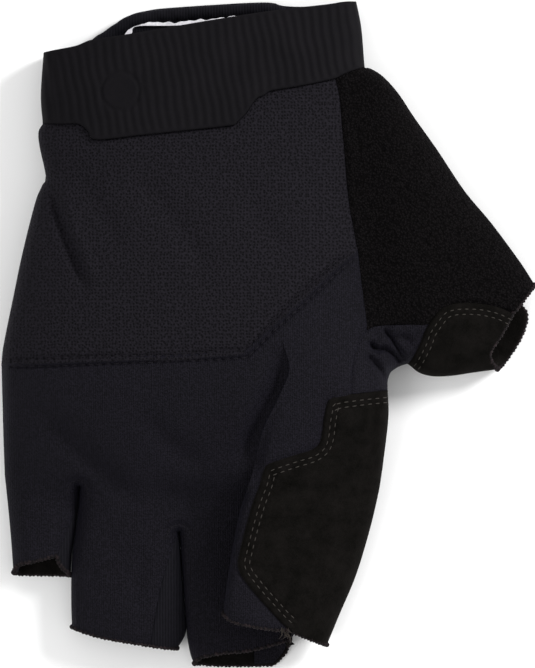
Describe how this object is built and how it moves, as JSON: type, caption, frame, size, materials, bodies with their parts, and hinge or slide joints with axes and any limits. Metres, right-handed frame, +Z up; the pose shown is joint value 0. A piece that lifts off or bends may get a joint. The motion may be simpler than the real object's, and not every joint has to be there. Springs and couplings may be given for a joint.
{
  "type": "fingerless cycling glove",
  "caption": "Short-finger cycling mitt for a right hand, lying on its palm, with a ribbed elastic cuff, mesh back, terry thumb and suede patches.",
  "frame": {"origin": "on the floor, under the middle of the glove's plan", "axes": "+Y from the finger mouths to the cuff, +Z up through the back of the hand, +X towards the thumb"},
  "size_m": [0.1338, 0.1656, 0.0237],
  "materials": {
    "cuff_elastic": "moulded matte ribbed elastic",
    "cuff_knit": "soft fine rib knit",
    "binding_tape": "woven binding tape",
    "mesh_knit": "dotted mesh knit",
    "stretch_knit": "smooth stretch jersey",
    "suede": "brushed synthetic suede",
    "terry": "looped towelling",
    "overlock_thread": "overlocked edge thread"
  },
  "bodies": {
    "root": {"cuff_band": "cuff_elastic", "rear_cuff": "cuff_knit", "cuff_tape": "binding_tape", "back_panel": "mesh_knit", "knuckle_panel": "stretch_knit", "index_back": "stretch_knit", "index_patch": "suede", "thumb_panel": "terry", "thumb_web": "stretch_knit", "thumb_patch": "suede", "palm_panel": "suede", "gusset_little_ring": "cuff_knit", "gusset_ring_middle": "cuff_knit", "hem_little": "overlock_thread", "hem_ring": "overlock_thread", "hem_middle": "overlock_thread", "hem_index": "overlock_thread", "hem_thumb": "overlock_thread"}
  },
  "joints": []
}
